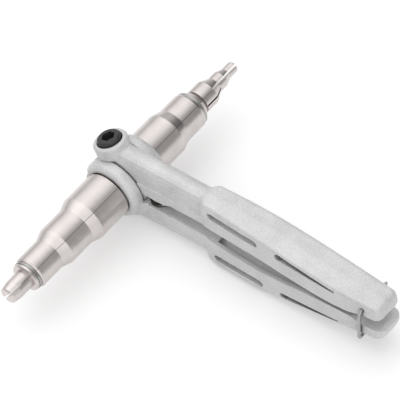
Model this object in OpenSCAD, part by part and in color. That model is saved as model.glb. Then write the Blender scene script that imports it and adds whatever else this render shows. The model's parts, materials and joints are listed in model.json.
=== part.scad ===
// Lever tube expander: two stepped, split heads on one cam shaft between two cast handles.
// X runs along the handles, Y along the heads' common axis and Z up, with the handles closed.

/* [Large head] */
// Diameter of the step for 7/8 inch tube
big_d1 = 20; // [19:0.1:21]
// Diameter of the step for 3/4 inch tube
big_d2 = 17; // [16:0.1:18]
// Diameter of the step for 5/8 inch tube
big_d3 = 13.9; // [13.4:0.1:15]
// Diameter of the plain nose beyond the stop ring
nose_d = 8.2; // [7.4:0.1:8.8]
// Length of the 7/8 inch step
big_l1 = 15.3; // [10:0.5:20]
// Length of the 3/4 inch step
big_l2 = 11.5; // [8:0.5:16]
// Length of the 5/8 inch step
big_l3 = 10.8; // [9:0.1:16]
// Length of each cone between two steps
big_cone = 4.5; // [3:0.1:6]
// Length of the plain nose
nose_l = 10.2; // [6:0.1:14]

/* [Small head] */
// Diameter of the plain root
small_d1 = 18.6; // [17.6:0.1:20]
// Diameter of the plain middle
small_d2 = 16; // [15.6:0.1:16.8]
// Diameter of the step for 1/2 inch tube
small_d3 = 11; // [10.6:0.1:11.4]
// Diameter of the step for 3/8 inch tube
small_d4 = 7.2; // [6.6:0.1:8]
// Diameter of the step for 1/4 inch tube
small_d5 = 4.9; // [4.5:0.1:5.2]
// Length of the plain root
small_l1 = 13.9; // [9:0.1:18]
// Length of the plain middle
small_l2 = 9.5; // [9:0.1:14]
// Length of the 1/2 inch step
small_l3 = 6.2; // [5:0.1:10]
// Length of the 3/8 inch step
small_l4 = 4; // [3:0.1:7]
// Length of the 1/4 inch step
small_l5 = 5.6; // [3:0.1:8]
// Length of each cone between two steps
small_cone = 4.4; // [3:0.1:6]
// Length of the round shoulder outside the stop ring
shoulder_l = 3.4; // [2:0.1:5]
// Width of the relief slots in the small steps
relief_w = 0.8; // [0.4:0.05:1]

/* [Jaws and cam] */
// Distance that each jaw moves outwards
jaw_travel = 1.1; // [0.9:0.05:1.2]
// Width of the split between closed jaws
split_gap = 0.14; // [0.1:0.02:0.3]
// Width of the split at the two noses
nose_slot = 1; // [0.6:0.1:1.4]
// Angle of the split plane above the handles' plane
split_angle = 50; // [30:1:70]
// Long half axis of the large cam
cam_a = 6; // [5.8:0.05:6.1]
// Short half axis of the large cam
cam_b = 4.7; // [4.5:0.1:5]
// Long half axis of the small cam
fine_cam_a = 3.3; // [3.1:0.05:3.4]
// Short half axis of the small cam
fine_cam_b = 2.1; // [2:0.1:2.3]

/* [Pivot] */
// Outside diameter of the collars and of the knuckle between them
collar_d = 26; // [25.6:0.1:29]
// Outside diameter of the collars' thin backs
thin_d = 22.6; // [22.4:0.1:25]
// Width over both collars
fork_w = 21.4; // [21:0.1:24]
// Width of the knuckle
knuckle_w = 9.6; // [8.6:0.1:9.8]
// Diameter of the shaft in the bushes
journal_d = 12.3; // [12.3:0.05:12.6]
// Wall of the bushes
bush_wall = 1.5; // [1:0.1:1.8]
// Thickness of the web that holds each bush
web = 2; // [1.6:0.1:2.2]
// Thickness of the thrust washers
washer_t = 0.5; // [0.3:0.05:0.6]
// Lean of the clamp bolt towards the back
bolt_lean = 17.2; // [5:0.1:25]
// Height of the bolt's boss above the shaft's axis
boss_h = 18.5; // [17.6:0.1:19.5]
// Diameter of the bolt's boss
boss_d = 14.2; // [13.4:0.1:15.4]
// Diameter of the clamp bolt's thread
bolt_d = 6; // [5:0.5:6]
// Diameter of the clamp bolt's head
head_d = 9.8; // [9:0.1:10]
// Height of the clamp bolt's head
head_h = 6; // [5:0.1:6.4]

/* [Handles] */
// Distance from the shaft's axis to the handles' ends
reach = 127; // [115:1:150]
// Distance from the shaft's axis to the grips' shoulder
shoulder_x = 45; // [40:0.5:52]
// Height of the upper arm's crown above the middle plane
upper_crown = 17; // [16:0.1:17.4]
// Depth of the lower arm's crown below the middle plane
lower_crown = 15.3; // [14:0.1:16.5]
// Extra depth of the lower arm where it meets the collars
lower_root = 1.3; // [0:0.1:1.6]
// Width of the arms' crowns
arm_w = 10.4; // [9.6:0.1:11]
// Width of the arms' side flanges
flange_w = 11.4; // [11:0.1:12.4]
// Height of the side flanges above the middle plane, halfway along the arms
flange_h = 8.2; // [7.4:0.1:8.8]
// Height of a grip's back at the shoulder
grip_h0 = 17.3; // [16:0.1:19]
// Height of a grip's back in the middle
grip_h1 = 13.4; // [12.6:0.1:15]
// Height of a grip's back at the end
grip_h2 = 8.7; // [8.2:0.1:10]
// Width of a grip at the shoulder
grip_w0 = 12.4; // [12:0.1:14]
// Width of a grip in the middle
grip_w1 = 15.2; // [14:0.1:15.4]
// Width of a grip at the end
grip_w2 = 12.9; // [12.6:0.1:14]
// Half of the gap between the arms' spring seats
arm_gap = 2.7; // [2.2:0.1:3.2]
// Height of the upper arm's lower edge above the middle plane, past the spring
upper_rim = 4.2; // [2.7:0.1:4.8]
// Depth of the lower arm's upper edge below the middle plane, past the spring
lower_rim = 2.9; // [2.2:0.1:3.6]
// Half of the widest gap between the grips
grip_gap = 3.9; // [3:0.1:4.6]
// Depth of the relief along the grips' inner faces, inside their rims
relief_d = 2.2; // [1.4:0.1:2.8]
// Half of the gap where the grips come closest
close_gap = 1.2; // [0.8:0.1:2]
// Half of the gap at the handles' ends
end_gap = 3; // [2:0.1:3.2]
// Wall of the grips
wall = 1.8; // [1.4:0.1:2.2]
// Radius along the grips' back edges
edge_r = 2; // [1.2:0.1:2.4]
// Length of the solid ends of the grips
end_block = 14; // [12:0.5:18]
// Length of the straight slots
slot1_l = 24.5; // [16:0.5:28]
// Width of the straight slots
slot1_w = 3.5; // [2.4:0.1:4]
// Length of the tapered slots
slot2_l = 27.5; // [18:0.5:30]
// Width of the tapered slots at their wide end
slot2_w = 3; // [2:0.1:3.4]

/* [Spring and clasp] */
// Distance from the shaft's axis to the opening spring
spring_x = 17.3; // [17:0.1:30]
// Outside diameter of the opening spring
spring_d = 8.2; // [6:0.1:8.6]
// Wire diameter of the opening spring
spring_wire = 1; // [0.8:0.05:1.2]
// Turns of the opening spring
spring_turns = 8; // [5:1:9]
// Distance from the middle plane to the floors of the spring's pockets
pocket_z = 9.8; // [8:0.1:10.6]
// Wire diameter of the clasp
clasp_wire = 1.3; // [1:0.05:1.4]
// Distance from the handles' ends back to the clasp's pivot
clasp_back = 7.7; // [6:0.1:9]
// Height of the clasp's pivot above the middle plane
clasp_z = 6.6; // [6.2:0.1:7.2]
// Distance that the clasp's side strands stand back from its pivot
clasp_lean = 2.1; // [1.5:0.1:3]

/* [Hidden] */
$fn = 96;

// Clearances
run_fit = 0.04;      // turning and sliding fits, on the radius
seat_fit = 0.02;     // fixed round seats, on the radius
face_fit = 0.1;      // flat faces that slide past each other
body_gap = 0.3;      // round faces on different bodies
eps = 0.01;
far = 60;            // larger than anything that is cut

// Pivot
collar_r = collar_d / 2;
journal_r = journal_d / 2;
knuckle_y = knuckle_w / 2;
collar_in = knuckle_y + face_fit + washer_t;
collar_out = fork_w / 2;
bush_r = journal_r + run_fit + bush_wall;
recess_y = collar_in + web;

// Jaw roots, held in the collars' recesses
flange_y0 = recess_y + face_fit;
ring_t = 0.6;
lip = 0.5;
ring_y0 = collar_out - lip - ring_t;
flange_y1 = ring_y0 - face_fit;
flange_r = 8.6;
neck_r = 7.8;
ring_r0 = neck_r + jaw_travel + body_gap;
recess_r = flange_r + jaw_travel + body_gap;
ring_r1 = recess_r + 0.5;
root_y = collar_out + body_gap;

// Stations of the large head, measured from the middle of the tool
big_y1 = root_y + big_l1;
big_y2 = big_y1 + big_cone;
big_y3 = big_y2 + big_l2;
big_y4 = big_y3 + big_cone;
big_y5 = big_y4 + big_l3;
stop_t = 1;
groove_w = stop_t + 2 * face_fit;
big_groove_y = big_y5 + 0.8;
big_groove_r = nose_d / 2 + 0.45;
big_stop_r0 = big_groove_r + jaw_travel + face_fit;
big_stop_r1 = big_stop_r0 + 0.65;
big_lip_r = big_stop_r0 + 0.35;
big_lip_y = big_groove_y + groove_w + 1.5;
nose_y = big_lip_y + nose_l;

// Stations of the small head
small_y1 = root_y + small_l1;
small_y2 = small_y1 + small_cone;
small_y3 = small_y2 + small_l2;
small_groove_y = small_y3 + 1;
small_stop_r1 = small_d2 / 2 - 0.4;
small_stop_r0 = small_stop_r1 - 0.65;
small_groove_r = small_stop_r0 - jaw_travel - face_fit;
small_y4 = small_groove_y + groove_w + shoulder_l;
small_y5 = small_y4 + small_l3;
small_y6 = small_y5 + small_cone;
small_y7 = small_y6 + small_l4;
small_y8 = small_y7 + small_cone * 0.75;
small_y9 = small_y8 + small_l5;

// Cam shaft and the hollows that it turns in
cam_y0 = flange_y0 - face_fit;
cam_room = 0.1;
hollow_a = cam_a + 0.3;
hollow_b = cam_b + cam_room;
big_cam_y = big_y4 + 3;
fine_hollow_a = fine_cam_a + 0.3;
fine_hollow_b = fine_cam_b + cam_room;
mid_cam_y = small_y3 - 4.4;
fine_cam_y = small_y5 - 1.6;
cam_end_gap = 0.4;

// Guide pins across the split
pin_r = 0.9;
pin_skin = 0.6;      // wall left outside a pin's blind hole
pin_end = 0.3;       // room past a pin's end
big_pin_y = big_y5 - 3.6;
big_pin_t = big_d3 / 2 - 2.6;
small_pin_y = small_y3 - 2.3;
small_pin_t = small_d2 / 2 - 2.6;
big_pin_hole = blind_depth(big_d3, big_pin_t);
small_pin_hole = blind_depth(small_d2, small_pin_t);

// Clamp bolt
bolt_r = bolt_d / 2;
washer_h = 1;
head_rise = 1.6;
seat_h = boss_h + head_rise - head_h - washer_h;
bolt_seat = seat_h + washer_h;
bolt_tip = -2;
counterbore_r = head_d / 2 + 0.35;

// Handles
grip_l = reach - shoulder_x;
pocket_r = spring_d / 2 + 0.4;
blend_l = 4.2;
end_r = 3;
lip_r = 2;
lip_l = 3.1;
flange_rise = 0.9;
foot_r = collar_r + 2.4;
sections = 25;
corner_n = 5;
pivot_x = reach - clasp_back;
cavity_x0 = shoulder_x + 3.5;
cavity_x1 = reach - end_block;
slot1_x = shoulder_x + 1.6;
slot1_z = 12.1 - 17.3 + grip_h0;
slot2_x = shoulder_x + 34.5;
slot2_drop = 1.1;
seat_x = spring_x + pocket_r + 1.6;

// Stations of the grips' back, sides and inner edges
grip_back = [
    [shoulder_x, grip_h0],
    [shoulder_x + grip_l * 0.25, grip_h0 + (grip_h1 - grip_h0) * 0.34],
    [shoulder_x + grip_l * 0.5, grip_h1],
    [shoulder_x + grip_l * 0.75, grip_h1 + (grip_h2 - grip_h1) * 0.62],
    [reach, grip_h2]];

grip_side = [
    [shoulder_x, grip_w0 / 2],
    [shoulder_x + grip_l * 0.25, grip_w0 / 2 + (grip_w1 - grip_w0) * 0.36],
    [shoulder_x + grip_l * 0.5, grip_w1 / 2],
    [shoulder_x + grip_l * 0.75, grip_w1 / 2 - 0.1],
    [reach, grip_w2 / 2]];

function grip_inside(rim) = [
    [0, arm_gap],
    [seat_x, arm_gap],
    [seat_x + 3.5, rim],
    [shoulder_x - 5, rim],
    [shoulder_x + 3, (rim + grip_gap) / 2],
    [shoulder_x + grip_l * 0.32, grip_gap],
    [shoulder_x + grip_l * 0.64, close_gap],
    [reach - end_block, close_gap],
    [reach - end_block * 0.6, end_gap],
    [reach, end_gap]];
spine_h = 0.35;

// Spring and clasp
spring_z = pocket_z - 0.1;
wire_r = clasp_wire / 2;
strand_x = pivot_x - clasp_lean;
clasp_y = side_y(strand_x) + body_gap + wire_r;
clasp_bar_z = -(back_z(strand_x, lower_crown) + spine_h + body_gap + 0.1 + wire_r);
bend_r = 1.4;
stub_y = 2.5;

// The part's own frame: centred in plan, standing on its lowest point
x_mid = (reach - collar_r) / 2;
y_mid = (small_y9 - nose_y) / 2;
floor_z = grip_h0 + spine_h;

alloy = [0.78, 0.79, 0.8];
steel = [0.76, 0.71, 0.69];
black = [0.06, 0.06, 0.07];
bronze = [0.72, 0.55, 0.35];
bright = [0.7, 0.71, 0.72];

// Points and curves

function arc(c, r, a0, a1, n) =
    [for (i = [0:n]) let (a = a0 + (a1 - a0) * i / n) [c[0] + r * cos(a), c[1] + r * sin(a)]];

function smooth(t) = let (u = min(1, max(0, t))) u * u * (3 - 2 * u);

function span(x, p, i = 0) = (i < len(p) - 2 && x > p[i + 1][0]) ? span(x, p, i + 1) : i;

function slope(p, i) = let (a = max(0, i - 1), b = min(len(p) - 1, i + 1))
    (p[b][1] - p[a][1]) / (p[b][0] - p[a][0]);

// A smooth curve through a few stations
function curve(x, p) = let (
    i = span(x, p),
    h = p[i + 1][0] - p[i][0],
    t = (x - p[i][0]) / h,
    s0 = slope(p, i) * h,
    s1 = slope(p, i + 1) * h)
    (1 + 2 * t) * pow(1 - t, 2) * p[i][1] + t * pow(1 - t, 2) * s0
    + t * t * (3 - 2 * t) * p[i + 1][1] - t * t * (1 - t) * s1;

// Outline of a slot that runs from circle a, r1 to circle b, r2
function slot_outline(a, r1, b, r2) = let (t = atan2(b[1] - a[1], b[0] - a[0]))
    concat(arc(a, r1, t + 90, t + 270, 12), arc(b, r2, t - 90, t + 90, 12));

// Placing

module in_frame() translate([-x_mid, -y_mid, floor_z]) children();

module towards_y(side) rotate([-90 * side, 0, 0]) children();

module to_split() rotate([0, -split_angle, 0]) children();

module to_bolt() rotate([0, -bolt_lean, 0]) children();

// A round slice of the Y axis, from y0 to y1
module drum(r, y0, y1) translate([0, y0, 0]) towards_y(1) cylinder(h = y1 - y0, r = r);

// A profile of the XZ plane, as thick as 2 * half along Y
module side_prism(half) rotate([90, 0, 0]) translate([0, 0, -half]) linear_extrude(2 * half) children();

// Handles

function blend(x) = smooth((x - shoulder_x + blend_l) / blend_l);
function end_inset(x) = let (u = max(0, (x - reach + end_r) / end_r)) end_r * (1 - sqrt(max(0, 1 - u * u)));
// Round arm under the crown, and a flat grip with a slight spine beyond the shoulder
function back_z(x, crown) = crown + (curve(max(x, shoulder_x), grip_back) - crown) * blend(x) - end_inset(x);
function side_y(x) = arm_w / 2 + (curve(max(x, shoulder_x), grip_side) - arm_w / 2) * blend(x) - end_inset(x);
function corner_y(x) = (arm_w / 2 - 0.2) + (edge_r - arm_w / 2 + 0.2) * blend(x);

// Half outline of one cross-section, from the inside edge up to the crown
function half_section(x, crown, root, rim) = let (
    w = side_y(x),
    z = back_z(x, crown) + root * (1 - smooth((x - collar_r) / collar_r)),
    r = corner_y(x))
    concat(
        [[w, curve(x, grip_inside(rim)) + end_inset(x) * 0.5]],
        [for (i = [0:corner_n]) let (a = 90 * i / corner_n) [w - r + r * cos(a), z - r + r * sin(a)]],
        [[0, z + spine_h * blend(x)]]);

function full_section(x, crown, root, rim) = let (h = half_section(x, crown, root, rim), n = len(h))
    concat([for (p = h) [x, p[0], p[1]]], [for (i = [n - 2:-1:0]) [x, -h[i][0], h[i][1]]]);

// Stations along a handle, close together at the shoulder and at the end
function stations(x0) = concat(
    [x0, shoulder_x - blend_l],
    [for (i = [1:5]) shoulder_x - blend_l + blend_l * i / 5],
    [for (i = [1:sections - 11]) shoulder_x + (grip_l - end_r) * i / (sections - 11)],
    [for (i = [1:4]) reach - end_r + end_r * sin(22.5 * i)]);

// Arm and grip as one lofted skin
module handle_skin(x0, crown, root, rim) {
    xs = stations(x0);
    rings = [for (x = xs) full_section(x, crown, root, rim)];
    n = len(rings[0]);
    m = len(xs);
    sides = [for (i = [0:m - 2]) for (j = [0:n - 1]) let (k = (j + 1) % n, a = i * n)
        each [[a + j, a + n + j, a + k], [a + k, a + n + j, a + n + k]]];
    polyhedron(
        points = [for (r = rings) each r],
        faces = concat([[for (j = [0:n - 1]) j]], sides, [[for (j = [n - 1:-1:0]) (m - 1) * n + j]]));
}

// Thin ledge along the arm's side, under the crown
module arm_flange(x0, rim) side_prism(flange_w / 2)
    polygon(concat(
        [[x0, arm_gap], [seat_x, arm_gap], [seat_x + 3.5, rim], [shoulder_x - 1, rim]],
        arc([shoulder_x - 3, flange_h + flange_rise - 2], 2, 0, 90, 5),
        [[x0, flange_h - flange_rise]]));

// Relief along the grip's inner face, inside a rim as wide as the wall
module grip_relief(rim) {
    n = 14;
    xs = [for (i = [0:n]) cavity_x0 + (cavity_x1 - cavity_x0) * i / n];
    intersection() {
        side_prism(far)
            polygon(concat(
                [[cavity_x0, -1], [cavity_x1, -1]],
                [for (i = [n:-1:0]) [xs[i], curve(xs[i], grip_inside(rim)) + relief_d]]));
        translate([0, 0, -1]) linear_extrude(far)
            polygon(concat(
                [for (x = xs) [x, side_y(x) - wall]],
                [for (i = [n:-1:0]) [xs[i], -side_y(xs[i]) + wall]]));
    }
}

// The two windows through the grip, from side to side
module grip_slots() side_prism(grip_w1) {
    r1 = slot1_w / 2;
    a = slot1_x + r1;
    b = slot1_x + slot1_l - r1;
    polygon(slot_outline([a, slot1_z + 0.3], r1, [b, slot1_z - 0.3], r1));
    r2 = slot2_w / 2;
    c = slot2_x + r2;
    d = slot2_x + slot2_l - 0.4;
    polygon(slot_outline(
        [c, back_z(c, grip_h0) - slot2_drop - r2], r2,
        [d, back_z(d, grip_h0) - slot2_drop - 0.8], 0.35));
}

module spring_pocket() translate([spring_x, 0, -1]) cylinder(h = pocket_z + 1, r = pocket_r);

// Room for the other handle's part of the hinge, between y0 and y1 from the middle
module hinge_room(y0, y1) for (side = [-1, 1])
    drum(collar_r + body_gap, side > 0 ? y0 : -y1, side > 0 ? y1 : -y0);

module bolt_boss() to_bolt() rotate_extrude()
    polygon(concat(
        [[0, 6], [boss_d / 2 - 2.2, 6], [boss_d / 2 - 1.6, 11]],
        arc([boss_d / 2 - 3, 14], 3, -35, 0, 4),
        arc([boss_d / 2 - 1, boss_h - 1], 1, 0, 90, 4),
        [[0, boss_h]]));

module upper_handle() color(alloy) in_frame() difference() {
    union() {
        drum(collar_r, -knuckle_y, knuckle_y);
        bolt_boss();
        handle_skin(0, upper_crown, 0, upper_rim);
        arm_flange(6, upper_rim);
    }
    hinge_room(knuckle_y, collar_out + 4);
    drum(journal_r + seat_fit, -far, far);
    to_bolt() {
        cylinder(h = far, r = bolt_r + 0.2);
        translate([0, 0, seat_h]) cylinder(h = far, r = counterbore_r);
    }
    grip_relief(upper_rim);
    grip_slots();
    spring_pocket();
    translate([pivot_x, 0, clasp_z]) drum(wire_r + run_fit, -far, far);
}

// Collar round one jaw root: bush bore, recess and snap ring groove
module collar_bore(side) towards_y(side) {
    cylinder(h = far, r = bush_r + seat_fit);
    translate([0, 0, recess_y]) cylinder(h = far, r = recess_r);
    translate([0, 0, ring_y0]) cylinder(h = ring_t, r = ring_r1 + seat_fit);
}

// One collar, solid: thick with a rounded lip at the top and in front, thin behind and below
module collar(side) towards_y(side) translate([0, 0, collar_in]) {
    w = collar_out - collar_in;
    cylinder(h = w, r = thin_d / 2);
    rotate([0, 0, side > 0 ? -150 : -75]) rotate_extrude(angle = 225)
        polygon(concat(
            [[journal_r, 0], [collar_r - 0.5, 0], [collar_r, 0.5]],
            [for (i = [0:6]) [collar_r - lip_r + lip_r * cos(15 * i), w - lip_l + lip_l * sin(15 * i)]],
            [[journal_r, w]]));
}

// Cone that spreads the lower arm out to both collars, under and in front of the knuckle
module arm_root() intersection() {
    side_prism(collar_out) polygon([[0, 0], [6, -20], [20, -20], [20, -1.5], [8, -1.5]]);
    for (side = [-1, 1])
        towards_y(side) rotate_extrude()
            polygon([[0, 0], [foot_r, 0], [foot_r, collar_in + 0.4], [collar_r, collar_out - lip_l],
                [0, collar_out - lip_l]]);
}

module lower_handle() color(alloy) in_frame() difference() {
    union() {
        for (side = [-1, 1])
            collar(side);
        arm_root();
        mirror([0, 0, 1]) {
            handle_skin(6, lower_crown, lower_root, lower_rim);
            arm_flange(8, lower_rim);
        }
    }
    drum(collar_r + body_gap, -collar_in, collar_in);
    for (side = [-1, 1])
        collar_bore(side);
    mirror([0, 0, 1]) {
        grip_relief(lower_rim);
        grip_slots();
        spring_pocket();
    }
}

// Pivot

module cam_outline(a, b) polygon([for (i = [0:47]) [a * cos(7.5 * i), b * sin(7.5 * i)]]);

// One cam of the shaft, on the side's end
module cam(side, a, b, y0, y1) to_split() towards_y(side) translate([0, 0, y0])
    linear_extrude(y1 - y0) cam_outline(a, b);

module cam_shaft() color(bright) in_frame() difference() {
    union() {
        drum(journal_r, -cam_y0, cam_y0);
        cam(-1, cam_a, cam_b, cam_y0 - eps, big_cam_y - cam_end_gap);
        cam(1, cam_a, cam_b, cam_y0 - eps, mid_cam_y - cam_end_gap);
        cam(1, fine_cam_a, fine_cam_b, cam_y0, fine_cam_y - cam_end_gap);
    }
    to_bolt() translate([0, 0, bolt_tip - 0.5]) cylinder(h = far, r = bolt_r + seat_fit);
}

module clamp_bolt() color(black) in_frame() to_bolt() difference() {
    rotate_extrude()
        polygon([[0, bolt_tip], [bolt_r - 0.5, bolt_tip], [bolt_r, bolt_tip + 0.5], [bolt_r, bolt_seat],
            [head_d / 2, bolt_seat], [head_d / 2, bolt_seat + head_h - 0.6],
            [head_d / 2 - 0.6, bolt_seat + head_h], [0, bolt_seat + head_h]]);
    translate([0, 0, bolt_seat + head_h - 3]) cylinder(h = 4, r = 2.9, $fn = 6);
}

module lock_washer() color(bright) in_frame() to_bolt() translate([0, 0, seat_h]) difference() {
    cylinder(h = washer_h, r = head_d / 2);
    translate([0, 0, -1]) cylinder(h = washer_h + 2, r = bolt_r + 0.1);
    translate([0, -0.5, -1]) cube([head_d, 1, washer_h + 2]);
}

module bush(side) color(bronze) in_frame() towards_y(side) translate([0, 0, collar_in]) difference() {
    cylinder(h = web, r = bush_r);
    translate([0, 0, -1]) cylinder(h = web + 2, r = journal_r + run_fit);
}

module thrust_washer(side) color(bronze) in_frame() towards_y(side)
    translate([0, 0, collar_in - washer_t]) difference() {
        cylinder(h = washer_t, r = collar_r - 1.2);
        translate([0, 0, -1]) cylinder(h = washer_t + 2, r = journal_r + 0.3);
    }

// Snap ring in a collar's mouth, open at the bottom
module mouth_ring(side) color(bright) in_frame() towards_y(side) translate([0, 0, ring_y0]) difference() {
    cylinder(h = ring_t, r = ring_r1);
    translate([0, 0, -1]) cylinder(h = ring_t + 2, r = ring_r0);
    rotate([0, 0, 90 * side]) translate([0, -1.5, -1]) cube([far, 3, ring_t + 2]);
}

// Jaws

big_profile = concat(
    [[0, flange_y0], [flange_r, flange_y0], [flange_r, flange_y1], [neck_r, flange_y1], [neck_r, root_y],
        [big_d1 / 2 - 0.4, root_y], [big_d1 / 2, root_y + 0.4], [big_d1 / 2, big_y1], [big_d2 / 2, big_y2],
        [big_d2 / 2, big_y3], [big_d3 / 2, big_y4], [big_d3 / 2, big_y5], [big_d3 / 2 - 0.4, big_groove_y],
        [big_groove_r, big_groove_y], [big_groove_r, big_groove_y + groove_w],
        [big_lip_r, big_groove_y + groove_w], [big_lip_r, big_lip_y - 0.4], [big_lip_r - 0.4, big_lip_y],
        [nose_d / 2, big_lip_y], [nose_d / 2, nose_y - 4], [nose_d / 2 - 0.5, nose_y - 1]],
    arc([nose_d / 2 - 1.3, nose_y - 0.8], 0.8, 20, 90, 3),
    [[0, nose_y]]);

small_profile = concat(
    [[0, flange_y0], [flange_r, flange_y0], [flange_r, flange_y1], [neck_r, flange_y1], [neck_r, root_y],
        [small_d1 / 2 - 0.4, root_y], [small_d1 / 2, root_y + 0.4], [small_d1 / 2, small_y1],
        [small_d2 / 2, small_y2], [small_d2 / 2, small_y3], [small_stop_r1 + 0.1, small_groove_y],
        [small_groove_r, small_groove_y], [small_groove_r, small_groove_y + groove_w],
        [small_stop_r1 - 0.1, small_groove_y + groove_w]],
    arc([small_d3 / 2 + 0.9 - 2.4, small_y4 - 2.4 - 0.3], 2.4, 50, 85, 3),
    [[small_d3 / 2, small_y4], [small_d3 / 2, small_y5], [small_d4 / 2, small_y6], [small_d4 / 2, small_y7],
        [small_d5 / 2, small_y8], [small_d5 / 2, small_y9 - 1.4]],
    arc([small_d5 / 2 - 0.9, small_y9 - 1.4], 0.9, 15, 60, 3),
    [[small_d5 / 2 - 1.1, small_y9], [0, small_y9]]);

// The half of a head above (half 1) or below (half -1) the split plane, in the split's own axes
module half_head(profile, half, side) difference() {
    towards_y(side) rotate_extrude() polygon(profile);
    translate([-far, -2 * far, half > 0 ? split_gap / 2 - far : -split_gap / 2]) cube([2 * far, 4 * far, far]);
}

// The hollow that a cam turns in
module cam_hollow(side, a, b, y1) towards_y(side) translate([0, 0, flange_y0 - 1])
    intersection() {
        cylinder(h = y1 - flange_y0 + 1, r = a);
        translate([-far, -b, -1]) cube([2 * far, 2 * b, far + y1]);
    }

module nose_split(side, y0) towards_y(side) translate([-far, -nose_slot / 2, y0]) cube([2 * far, nose_slot, far]);

// Depth of a pin's hole from the split, a skin short of the outside
function blind_depth(d, t) = sqrt(pow(d / 2 - pin_skin, 2) - pow(t + pin_r, 2));

module pin_row(r, half, y, t) for (s = [-1, 1])
    translate([s * t, y, -half]) cylinder(h = 2 * half, r = r, $fn = 48);

module big_jaw(half) color(steel) in_frame() to_split() difference() {
    half_head(big_profile, half, -1);
    cam_hollow(-1, hollow_a, hollow_b, big_cam_y);
    nose_split(-1, big_lip_y);
    pin_row(pin_r + (half > 0 ? run_fit : seat_fit), big_pin_hole, -big_pin_y, big_pin_t);
}

module small_jaw(half) color(steel) in_frame() to_split() difference() {
    half_head(small_profile, half, 1);
    cam_hollow(1, hollow_a, hollow_b, mid_cam_y);
    cam_hollow(1, fine_hollow_a, fine_hollow_b, fine_cam_y);
    nose_split(1, small_y5);
    pin_row(pin_r + (half > 0 ? run_fit : seat_fit), small_pin_hole, small_pin_y, small_pin_t);
    rotate([0, half > 0 ? -141 : 39, 0]) translate([small_d5 / 2, small_y4, -relief_w / 2])
        cube([far, small_y6 - small_y4, relief_w]);
}

module guide_pins(y, t, hole) color(bright) in_frame() to_split() pin_row(pin_r, hole - pin_end, y, t);

module stop_ring(side, y, r0, r1) color(bright) in_frame() towards_y(side)
    translate([0, 0, y + face_fit]) difference() {
        cylinder(h = stop_t, r = r1);
        translate([0, 0, -1]) cylinder(h = stop_t + 2, r = r0);
    }

// Spring and clasp

// Coil as one swept tube, with a closed turn at each end
function coil_rise(t) = t < 1 ? t * 1.1 * spring_wire : t > spring_turns - 1
    ? 2 * spring_z - spring_wire - (spring_turns - t) * 1.1 * spring_wire
    : 1.1 * spring_wire + (t - 1) * (2 * spring_z - 3.2 * spring_wire) / (spring_turns - 2);

module opening_spring() color(bright) in_frame() {
    steps = 14;
    sides = 6;
    n = spring_turns * steps;
    r = (spring_d - spring_wire) / 2;
    w = spring_wire / 2;
    pts = [for (i = [0:n]) for (j = [0:sides - 1]) let (
        t = i / steps,
        u = 360 * t,
        v = 360 * j / sides,
        q = r + w * cos(v))
        [spring_x + q * cos(u), q * sin(u), -spring_z + w + coil_rise(t) + w * sin(v)]];
    skin = [for (i = [0:n - 1]) for (j = [0:sides - 1]) let (k = (j + 1) % sides, a = i * sides)
        each [[a + j, a + k, a + sides + j], [a + k, a + sides + k, a + sides + j]]];
    polyhedron(
        points = pts,
        faces = concat([[for (j = [sides - 1:-1:0]) j]], skin, [[for (j = [0:sides - 1]) n * sides + j]]));
}

// Points along one side of the clasp, from the end in the handle's hole down to the cross bar
function clasp_half(side) = concat(
    [[pivot_x, side * stub_y, clasp_z], [pivot_x, side * clasp_y, clasp_z],
        [strand_x + 1.2, side * clasp_y, clasp_z - 3.8]],
    [for (a = [0:30:90]) [strand_x, side * (clasp_y - bend_r + bend_r * cos(a)), clasp_bar_z + bend_r - bend_r * sin(a)]]);

// A straight length of wire, with a ball at its far end that joins it to the next one
module rod(a, b, ball) {
    d = b - a;
    translate(a) rotate([0, acos(d[2] / norm(d)), atan2(d[1], d[0])]) cylinder(h = norm(d), r = wire_r, $fn = 32);
    if (ball)
        translate(b) sphere(r = wire_r + 0.05, $fn = 32);
}

module wire_clasp() color(bright) in_frame() {
    far_half = clasp_half(1);
    m = len(far_half);
    path = concat(clasp_half(-1), [for (i = [m - 1:-1:0]) far_half[i]]);
    for (i = [1:len(path) - 1])
        rod(path[i - 1], path[i], i < len(path) - 1);
}

lower_handle();
upper_handle();
cam_shaft();
clamp_bolt();
lock_washer();
bush(-1);  // bush_left
bush(1);  // bush_right
thrust_washer(-1);  // thrust_washer_left
thrust_washer(1);  // thrust_washer_right
mouth_ring(-1);  // mouth_ring_left
mouth_ring(1);  // mouth_ring_right
big_jaw(1);  // big_jaw_upper
big_jaw(-1);  // big_jaw_lower
small_jaw(1);  // small_jaw_upper
small_jaw(-1);  // small_jaw_lower
guide_pins(-big_pin_y, big_pin_t, big_pin_hole);  // big_guide_pins
guide_pins(small_pin_y, small_pin_t, small_pin_hole);  // small_guide_pins
stop_ring(-1, big_groove_y, big_stop_r0, big_stop_r1);  // big_stop_ring
stop_ring(1, small_groove_y, small_stop_r0, small_stop_r1);  // small_stop_ring
opening_spring();
wire_clasp();
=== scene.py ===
"""Looks of the tube expander: materials, cast edges, floor, light and the photograph's camera."""
import json
import math

import bpy
from mathutils import Matrix, Vector

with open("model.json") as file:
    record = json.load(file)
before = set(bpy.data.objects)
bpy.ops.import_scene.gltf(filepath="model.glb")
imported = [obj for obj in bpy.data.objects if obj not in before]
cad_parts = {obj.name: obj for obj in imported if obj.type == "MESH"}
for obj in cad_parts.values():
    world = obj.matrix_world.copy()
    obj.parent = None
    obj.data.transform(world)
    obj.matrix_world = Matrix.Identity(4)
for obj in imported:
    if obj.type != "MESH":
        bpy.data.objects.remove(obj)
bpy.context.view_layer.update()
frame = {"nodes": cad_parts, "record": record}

MM = 0.001
NODES = frame["nodes"]

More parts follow.
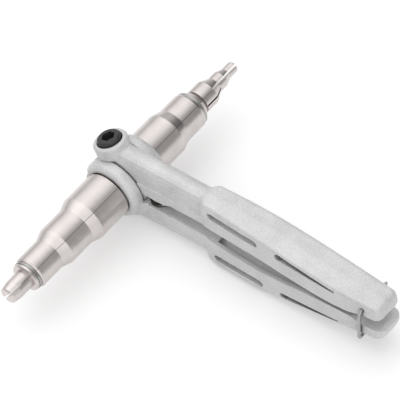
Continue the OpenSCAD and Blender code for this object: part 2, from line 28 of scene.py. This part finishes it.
# The photograph's camera, in degrees, metres and millimetres of focal length
CAMERA_AZIMUTH = 46.42
CAMERA_ELEVATION = 49.40
CAMERA_ROLL = 10.36
CAMERA_DISTANCE = 1.1822
CAMERA_AIM = Vector((-0.02498, 0.00738, 0.01765))
CAMERA_LENS = 277.92
CAMERA_SENSOR = 36
CAMERA_REACH = 50

# Colours as linear red, green and blue
ALLOY = (0.655, 0.655, 0.655)
JAW_STEEL = (0.645, 0.600, 0.585)
BRIGHT_STEEL = (0.42, 0.415, 0.41)
BLACK_STEEL = (0.040, 0.040, 0.042)
BRONZE = (0.22, 0.185, 0.15)
FLOOR = (0.82, 0.82, 0.82)

# Fillets of the castings, by a fine remesh and a few rounds of smoothing
CAST_CELL = 0.2 * MM
CAST_ROUNDS = 2

# Bevels of the other pieces, on edges sharper than this many degrees
EDGE_WIDTH = 0.12 * MM
EDGE_ANGLE = 32

# Painted shade in the grips' windows, darkening the colour where walls close in: how far it looks
# for walls, the open share of the view at which it starts and at which it is full, the colour left
# then, and where along x the grips start
WINDOW_REACH = 3.5 * MM
WINDOW_OPEN = 0.80
WINDOW_SHUT = 0.48
WINDOW_SHADE_DARK = 0.25
GRIP_START = (-13 * MM, -10 * MM)

# The world's brightness, and patches that change it: direction, the degrees from it within
# which the change is full and beyond which it is none, and the change
WORLD_BASE = 0.48
WORLD_PATCHES = {
    "above": ((-0.33, 0.12, 0.93), 24, 60, 0.80),
    "behind the pivot": ((-0.95, 0.30, 0.10), 20, 45, 0.12),
    "beside the camera": ((0.72, -0.48, 0.50), 20, 52, 0.74),
    "past the small head": ((0.38, 0.88, 0.26), 14, 46, -0.34),
    "past the large head": ((0.10, -0.95, 0.20), 25, 60, -0.12),
}

# A wide lamp overhead, in metres and watts
KEY_PLACE = Vector((-0.6, 0.0, 1.5))
KEY_WIDTH = 1.5
KEY_POWER = 2.0

# The floor's width and its gap under the tool, in metres, and the glow that views of it get
FLOOR_WIDTH = 6
FLOOR_GAP = 0.5 * MM
FLOOR_GLOW = 0.25


# Nodes of materials and of the world

class Tree:
    """Short names for the nodes of a shader tree."""

    def __init__(self, tree):
        self.nodes = tree.nodes
        self.links = tree.links

    def feed(self, socket, value):
        """Links an output to the socket, or sets the socket to a constant."""
        if isinstance(value, bpy.types.NodeSocket):
            self.links.new(value, socket)
        else:
            socket.default_value = value

    def add(self, kind, inputs):
        """A new node with its named inputs fed."""
        node = self.nodes.new("ShaderNode" + kind)
        for name, value in inputs.items():
            self.feed(node.inputs[name], value)
        return node

    def math(self, operation, *values):
        node = self.nodes.new("ShaderNodeMath")
        node.operation = operation
        for socket, value in zip(node.inputs, values):
            self.feed(socket, value)
        return node.outputs["Value"]

    def map_range(self, value, start, end, to_start=0.0, to_end=1.0, interpolation="LINEAR"):
        """value between start and end, mapped to between to_start and to_end and held there."""
        node = self.add("MapRange", {
            "Value": value, "From Min": start, "From Max": end,
            "To Min": to_start, "To Max": to_end})
        node.interpolation_type = interpolation
        return node.outputs["Result"]


class Shader(Tree):
    """A Principled material."""

    def __init__(self, name, color, metallic, roughness):
        self.mat = bpy.data.materials.new(name)
        self.mat.use_nodes = True
        super().__init__(self.mat.node_tree)
        self.bsdf = self.nodes["Principled BSDF"]
        self.paint("Base Color", (*color, 1))
        self.paint("Metallic", metallic)
        self.paint("Roughness", roughness)
        self.place = self.nodes.new("ShaderNodeTexCoord").outputs["Object"]
        self.normal = None

    def paint(self, socket, value):
        self.feed(self.bsdf.inputs[socket], value)

    def noise(self, density, detail=3.0, rough=0.5):
        """Noise with density features per metre along x, y and z."""
        place = self.add("Mapping", {"Vector": self.place, "Scale": density})
        node = self.add("TexNoise", {
            "Vector": place.outputs["Vector"], "Scale": 1.0,
            "Detail": detail, "Roughness": rough})
        return node.outputs["Fac"]

    def ramp(self, value, low, high, start=0.3, end=0.7):
        """value mapped to colours between low and high."""
        node = self.add("ValToRGB", {"Fac": value})
        first, last = node.color_ramp.elements
        first.position, last.position = start, end
        first.color, last.color = (*low, 1), (*high, 1)
        return node.outputs["Color"]

    def vary_roughness(self, value, low, high):
        self.paint("Roughness", self.ramp(value, grey(low), grey(high)))

    def bump(self, height, depth):
        """Adds a bump of that depth in metres on top of the earlier ones."""
        node = self.add("Bump", {"Height": height, "Strength": 1.0, "Distance": depth})
        if self.normal:
            self.feed(node.inputs["Normal"], self.normal)
        self.normal = node.outputs["Normal"]
        self.paint("Normal", self.normal)

    def painted_window_shade(self, color):
        """color with painted shade: darkened inside the grips' windows, where walls close in
        around it.
        """
        view = self.add("AmbientOcclusion", {"Distance": WINDOW_REACH})
        view.samples = 8
        shut = self.map_range(view.outputs["AO"], WINDOW_OPEN, WINDOW_SHUT)
        axes = self.add("SeparateXYZ", {"Vector": self.place})
        on_grip = self.map_range(axes.outputs["X"], *GRIP_START)
        left = self.map_range(self.math("MULTIPLY", shut, on_grip), 0.0, 1.0, 1.0, WINDOW_SHADE_DARK)
        node = self.nodes.new("ShaderNodeVectorMath")
        node.operation = "MULTIPLY"
        self.feed(node.inputs[0], color)
        self.feed(node.inputs[1], left)
        return node.outputs["Vector"]

    def glow_to_views(self, strength):
        """A little emission, seen by the camera and in reflections but lighting nothing."""
        rays = self.nodes.new("ShaderNodeLightPath").outputs
        seen = self.math("MAXIMUM", rays["Is Camera Ray"], rays["Is Glossy Ray"])
        seen = self.math("MAXIMUM", seen, rays["Is Transmission Ray"])
        self.paint("Emission Color", (1, 1, 1, 1))
        self.paint("Emission Strength", self.math("MULTIPLY", seen, strength))


# Materials

def even(density):
    return (density, density, density)


def grey(level):
    return (level, level, level)


def shade(color, factor):
    return tuple(min(1.0, c * factor) for c in color)


def cast_alloy():
    """Die-cast handles under a fine silver powder coat."""
    s = Shader("cast_alloy", ALLOY, metallic=0.25, roughness=0.42)
    grain = s.noise(even(1900), detail=2)
    cloud = s.noise(even(90), detail=4)
    grain_share = 0.6
    mottle = s.math("MULTIPLY_ADD", grain, grain_share, s.math("MULTIPLY", cloud, 1 - grain_share))
    coat = s.ramp(mottle, shade(ALLOY, 0.84), shade(ALLOY, 1.10), start=0.36, end=0.64)
    # painted shade: the coat darkened inside the grips' windows, where walls close in
    s.paint("Base Color", s.painted_window_shade(coat))
    s.vary_roughness(grain, 0.38, 0.50)
    s.bump(grain, 0.05 * MM)
    s.bump(cloud, 0.12 * MM)
    return s.mat


def turned_steel():
    """Jaws turned about the heads' axis, which is y, and polished."""
    s = Shader("jaw_steel", JAW_STEEL, metallic=1.0, roughness=0.305)
    rings = s.noise((60, 5200, 60), rough=0.6)
    wear = s.noise((160, 220, 160), detail=5)
    s.paint("Base Color", s.ramp(wear, shade(JAW_STEEL, 0.92), shade(JAW_STEEL, 1.03)))
    s.vary_roughness(rings, 0.287, 0.323)
    return s.mat


def drawn_steel():
    """Bright wire, rings and pins."""
    s = Shader("bright_steel", BRIGHT_STEEL, metallic=1.0, roughness=0.3)
    streaks = s.noise(even(900), detail=4)
    s.vary_roughness(streaks, 0.24, 0.40)
    s.bump(streaks, 0.01 * MM)
    return s.mat


def black_oxide():
    """The clamp bolt's black finish."""
    s = Shader("black_steel", BLACK_STEEL, metallic=0.4, roughness=0.42)
    fine = s.noise(even(1800))
    s.paint("Base Color", s.ramp(fine, shade(BLACK_STEEL, 0.8), shade(BLACK_STEEL, 1.6)))
    s.vary_roughness(fine, 0.34, 0.52)
    s.bump(fine, 0.02 * MM)
    return s.mat


def sintered_bronze():
    """Bushes and thrust washers."""
    s = Shader("bronze", BRONZE, metallic=1.0, roughness=0.38)
    pores = s.noise(even(3000), detail=2)
    s.vary_roughness(pores, 0.32, 0.5)
    s.bump(pores, 0.03 * MM)
    return s.mat


MATERIALS = {
    "cast_alloy": cast_alloy(),
    "jaw_steel": turned_steel(),
    "bright_steel": drawn_steel(),
    "black_steel": black_oxide(),
    "bronze": sintered_bronze(),
}


# The CAD pieces, with their slot's material and softer edges

def cast(obj):
    """Melts every corner of a casting into a small fillet."""
    remesh = obj.modifiers.new("skin", "REMESH")
    remesh.mode = "VOXEL"
    remesh.voxel_size = CAST_CELL
    remesh.use_smooth_shade = True
    melt = obj.modifiers.new("fillets", "SMOOTH")
    melt.factor = 0.5
    melt.iterations = CAST_ROUNDS


def soften(obj):
    """Rounds the sharp edges a little and shades the rest smoothly."""
    obj.data.shade_smooth()
    bevel = obj.modifiers.new("edges", "BEVEL")
    bevel.width = EDGE_WIDTH
    bevel.segments = 2
    bevel.limit_method = "ANGLE"
    bevel.angle_limit = math.radians(EDGE_ANGLE)
    bevel.use_clamp_overlap = True
    bevel.harden_normals = True


for part in frame["record"]["subparts"]:
    node = NODES[part["node"]]
    node.data.materials.clear()
    node.data.materials.append(MATERIALS[part["material_slot"]])

for name, node in NODES.items():
    if name in ("lower_handle", "upper_handle"):
        cast(node)
    elif name == "opening_spring":
        node.data.shade_smooth()
    else:
        soften(node)


# Light, floor and camera

def studio_world():
    """World brightness by direction, built up from smooth round patches."""
    world = bpy.data.worlds.new("studio")
    world.use_nodes = True
    bpy.context.scene.world = world
    tree = Tree(world.node_tree)
    direction = tree.nodes.new("ShaderNodeTexCoord").outputs["Generated"]
    brightness = WORLD_BASE
    for towards, inner, outer, change in WORLD_PATCHES.values():
        dot = tree.nodes.new("ShaderNodeVectorMath")
        dot.operation = "DOT_PRODUCT"
        tree.feed(dot.inputs[0], direction)
        tree.feed(dot.inputs[1], Vector(towards).normalized())
        patch = tree.map_range(
            dot.outputs["Value"], math.cos(math.radians(outer)), math.cos(math.radians(inner)),
            interpolation="SMOOTHSTEP")
        brightness = tree.math("ADD", tree.math("MULTIPLY", patch, change), brightness)
    background = tree.nodes["Background"]
    tree.feed(background.inputs["Color"], (1, 1, 1, 1))
    tree.feed(background.inputs["Strength"], brightness)


def pale_floor():
    bpy.ops.mesh.primitive_plane_add(size=FLOOR_WIDTH, location=(0, 0, -FLOOR_GAP))
    floor = bpy.context.object
    floor.name = "floor"
    s = Shader("floor", FLOOR, metallic=0.0, roughness=0.7)
    s.vary_roughness(s.noise(even(3)), 0.66, 0.74)
    s.glow_to_views(FLOOR_GLOW)
    floor.data.materials.append(s.mat)


def key_lamp():
    data = bpy.data.lights.new("key", "AREA")
    data.shape = "DISK"
    data.size = KEY_WIDTH
    data.energy = KEY_POWER
    lamp = bpy.data.objects.new("key", data)
    bpy.context.scene.collection.objects.link(lamp)
    lamp.location = KEY_PLACE
    lamp.rotation_euler = (-KEY_PLACE).to_track_quat("-Z", "Y").to_euler()


def photo_camera():
    data = bpy.data.cameras.new("camera")
    data.sensor_width = CAMERA_SENSOR
    data.lens = CAMERA_LENS
    data.clip_end = CAMERA_REACH
    camera = bpy.data.objects.new("camera", data)
    bpy.context.scene.collection.objects.link(camera)
    azimuth, elevation = math.radians(CAMERA_AZIMUTH), math.radians(CAMERA_ELEVATION)
    towards = Vector((
        math.sin(azimuth) * math.cos(elevation),
        -math.cos(azimuth) * math.cos(elevation),
        math.sin(elevation)))
    turn = (Matrix.Rotation(azimuth, 4, "Z") @ Matrix.Rotation(math.pi / 2 - elevation, 4, "X")
            @ Matrix.Rotation(-math.radians(CAMERA_ROLL), 4, "Z"))
    camera.matrix_world = Matrix.Translation(CAMERA_AIM + towards * CAMERA_DISTANCE) @ turn
    bpy.context.scene.camera = camera


studio_world()
pale_floor()
key_lamp()
photo_camera()
bpy.context.scene.view_settings.view_transform = "Standard"
